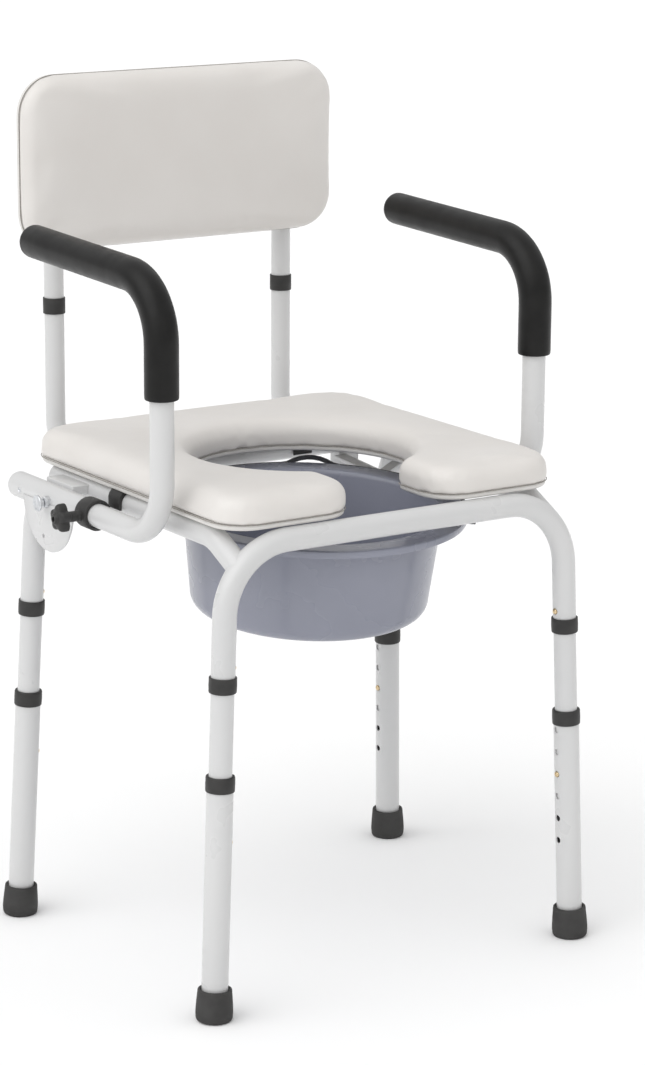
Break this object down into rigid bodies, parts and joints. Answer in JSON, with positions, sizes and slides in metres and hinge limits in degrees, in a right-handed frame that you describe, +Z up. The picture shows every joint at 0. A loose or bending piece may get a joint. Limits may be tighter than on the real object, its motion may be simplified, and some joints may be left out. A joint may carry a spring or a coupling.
{
  "type": "commode chair",
  "caption": "Steel-tube commode chair: padded horseshoe seat over a slide-out bucket, padded back, drop-down arms with foam grips, and telescopic legs with snap buttons.",
  "frame": {"origin": "centre of the chair on the floor: the middle of the base of its box", "axes": "+Z up; the chair faces -Y; +X is to the right as seen from the front"},
  "size_m": [0.566, 0.5062, 0.93],
  "materials": {
    "white_paint": "smooth gloss powder coat",
    "dark_plastic": "fine textured moulding",
    "foam_grip": "smooth foam sleeve with a soft sheen",
    "rubber": "matt moulded rubber",
    "brass": "passivated yellow",
    "zinc": "bright zinc plate",
    "vinyl": "smooth wipe-clean vinyl with a soft sheen",
    "board": "plain moulded board",
    "bucket_plastic": "semi-gloss moulded",
    "handle_plastic": "semi-gloss moulded"
  },
  "bodies": {
    "frame": {"front_frame": "white_paint", "left_side_rail": "white_paint", "right_side_rail": "white_paint", "rear_crossbar": "white_paint", "left_arm_sleeve": "white_paint", "right_arm_sleeve": "white_paint", "rear_left_leg_tube": "white_paint", "rear_right_leg_tube": "white_paint", "left_arm_collar": "dark_plastic", "right_arm_collar": "dark_plastic", "left_back_post": "white_paint", "right_back_post": "white_paint", "left_back_collar": "dark_plastic", "right_back_collar": "dark_plastic", "left_bucket_rail": "white_paint", "right_bucket_rail": "white_paint", "front_left_frame_collar": "dark_plastic", "front_left_middle_leg": "white_paint", "front_right_frame_collar": "dark_plastic", "front_right_middle_leg": "white_paint", "rear_left_frame_collar": "dark_plastic", "rear_left_middle_leg": "white_paint", "rear_right_frame_collar": "dark_plastic", "rear_right_middle_leg": "white_paint"},
    "front_left_leg": {"front_left_lower_leg": "white_paint", "front_left_leg_collar": "dark_plastic", "front_left_foot": "rubber"},
    "front_left_height_button": {"front_left_height_button": "brass"},
    "front_left_frame_button": {"front_left_frame_button": "brass"},
    "front_right_leg": {"front_right_lower_leg": "white_paint", "front_right_leg_collar": "dark_plastic", "front_right_foot": "rubber"},
    "front_right_height_button": {"front_right_height_button": "brass"},
    "front_right_frame_button": {"front_right_frame_button": "brass"},
    "rear_left_leg": {"rear_left_lower_leg": "white_paint", "rear_left_leg_collar": "dark_plastic", "rear_left_foot": "rubber"},
    "rear_left_height_button": {"rear_left_height_button": "brass"},
    "rear_left_frame_button": {"rear_left_frame_button": "brass"},
    "rear_right_leg": {"rear_right_lower_leg": "white_paint", "rear_right_leg_collar": "dark_plastic", "rear_right_foot": "rubber"},
    "rear_right_height_button": {"rear_right_height_button": "brass"},
    "rear_right_frame_button": {"rear_right_frame_button": "brass"},
    "left_arm": {"left_arm_tube": "white_paint", "left_arm_grip": "foam_grip"},
    "right_arm": {"right_arm_tube": "white_paint", "right_arm_grip": "foam_grip"},
    "left_clamp_knob": {"left_clamp_knob": "dark_plastic"},
    "right_clamp_knob": {"right_clamp_knob": "dark_plastic"},
    "left_lock_pin": {"left_lock_pin": "zinc"},
    "right_lock_pin": {"right_lock_pin": "zinc"},
    "seat": {"seat_board": "board", "seat_pad": "vinyl"},
    "backrest": {"back_hoop": "white_paint", "back_board": "board", "back_pad": "vinyl"},
    "bucket": {"bucket": "bucket_plastic"},
    "bucket_handle": {"bucket_handle": "handle_plastic"}
  },
  "joints": [
    {"name": "front_left_leg_slide", "type": "slide", "parent": "frame", "child": "front_left_leg", "axis": [-0.0394, -0.013, -0.9991], "range_m": [-0.0762, 0.0508], "deforming": ["front_left_height_button"]},
    {"name": "front_left_height_button_press", "type": "slide", "parent": "frame", "child": "front_left_height_button", "axis": [-0.9992, 0.0005, 0.0394], "range_m": [0, 0.004], "stiffness_N_per_m": 800, "springref_m": -0.002},
    {"name": "front_left_frame_button_press", "type": "slide", "parent": "frame", "child": "front_left_frame_button", "axis": [-0.9992, 0.0005, 0.0394], "range_m": [0, 0.003], "stiffness_N_per_m": 800, "springref_m": -0.002},
    {"name": "front_right_leg_slide", "type": "slide", "parent": "frame", "child": "front_right_leg", "axis": [0.0394, -0.013, -0.9991], "range_m": [-0.0762, 0.0508], "deforming": ["front_right_height_button"]},
    {"name": "front_right_height_button_press", "type": "slide", "parent": "frame", "child": "front_right_height_button", "axis": [0.9992, 0.0005, 0.0394], "range_m": [0, 0.004], "stiffness_N_per_m": 800, "springref_m": -0.002},
    {"name": "front_right_frame_button_press", "type": "slide", "parent": "frame", "child": "front_right_frame_button", "axis": [0.9992, 0.0005, 0.0394], "range_m": [0, 0.003], "stiffness_N_per_m": 800, "springref_m": -0.002},
    {"name": "rear_left_leg_slide", "type": "slide", "parent": "frame", "child": "rear_left_leg", "axis": [-0.0379, 0.0373, -0.9986], "range_m": [-0.0762, 0.0508], "deforming": ["rear_left_height_button"]},
    {"name": "rear_left_height_button_press", "type": "slide", "parent": "frame", "child": "rear_left_height_button", "axis": [-0.9993, -0.0014, 0.0379], "range_m": [0, 0.004], "stiffness_N_per_m": 800, "springref_m": -0.002},
    {"name": "rear_left_frame_button_press", "type": "slide", "parent": "frame", "child": "rear_left_frame_button", "axis": [-0.9993, -0.0014, 0.0379], "range_m": [0, 0.003], "stiffness_N_per_m": 800, "springref_m": -0.002},
    {"name": "rear_right_leg_slide", "type": "slide", "parent": "frame", "child": "rear_right_leg", "axis": [0.0379, 0.0373, -0.9986], "range_m": [-0.0762, 0.0508], "deforming": ["rear_right_height_button"]},
    {"name": "rear_right_height_button_press", "type": "slide", "parent": "frame", "child": "rear_right_height_button", "axis": [0.9993, -0.0014, 0.0379], "range_m": [0, 0.004], "stiffness_N_per_m": 800, "springref_m": -0.002},
    {"name": "rear_right_frame_button_press", "type": "slide", "parent": "frame", "child": "rear_right_frame_button", "axis": [0.9993, -0.0014, 0.0379], "range_m": [0, 0.003], "stiffness_N_per_m": 800, "springref_m": -0.002},
    {"name": "left_arm_drop", "type": "hinge", "parent": "frame", "child": "left_arm", "pos_m": [-0.235, -0.0719, 0.4915], "axis": [0, -1, 0], "range_deg": [0, 165]},
    {"name": "right_arm_drop", "type": "hinge", "parent": "frame", "child": "right_arm", "pos_m": [0.235, -0.0719, 0.4915], "axis": [0, 1, 0], "range_deg": [0, 165]},
    {"name": "left_clamp_knob_turn", "type": "hinge", "parent": "frame", "child": "left_clamp_knob", "pos_m": [-0.26, 0.0051, 0.4915], "axis": [-1, 0, 0], "continuous": true},
    {"name": "right_clamp_knob_turn", "type": "hinge", "parent": "frame", "child": "right_clamp_knob", "pos_m": [0.26, 0.0051, 0.4915], "axis": [1, 0, 0], "continuous": true},
    {"name": "left_lock_pin_pull", "type": "slide", "parent": "frame", "child": "left_lock_pin", "axis": [-1, 0, 0], "range_m": [0, 0.008], "stiffness_N_per_m": 600, "springref_m": -0.003},
    {"name": "right_lock_pin_pull", "type": "slide", "parent": "frame", "child": "right_lock_pin", "axis": [1, 0, 0], "range_m": [0, 0.008], "stiffness_N_per_m": 600, "springref_m": -0.003},
    {"name": "seat_lift", "type": "slide", "parent": "frame", "child": "seat", "axis": [0, 0, 1], "range_m": [0, 0.06]},
    {"name": "backrest_lift", "type": "slide", "parent": "frame", "child": "backrest", "axis": [0, 0, 1], "range_m": [0, 0.045]},
    {"name": "bucket_slide", "type": "slide", "parent": "frame", "child": "bucket", "axis": [0, -0.9977, -0.068], "range_m": [0, 0.3]},
    {"name": "bucket_handle_lift", "type": "hinge", "parent": "bucket", "child": "bucket_handle", "pos_m": [0, -0.06063, 0.48101], "axis": [0.788, -0.6142, -0.0419], "range_deg": [0, 2.5]}
  ]
}
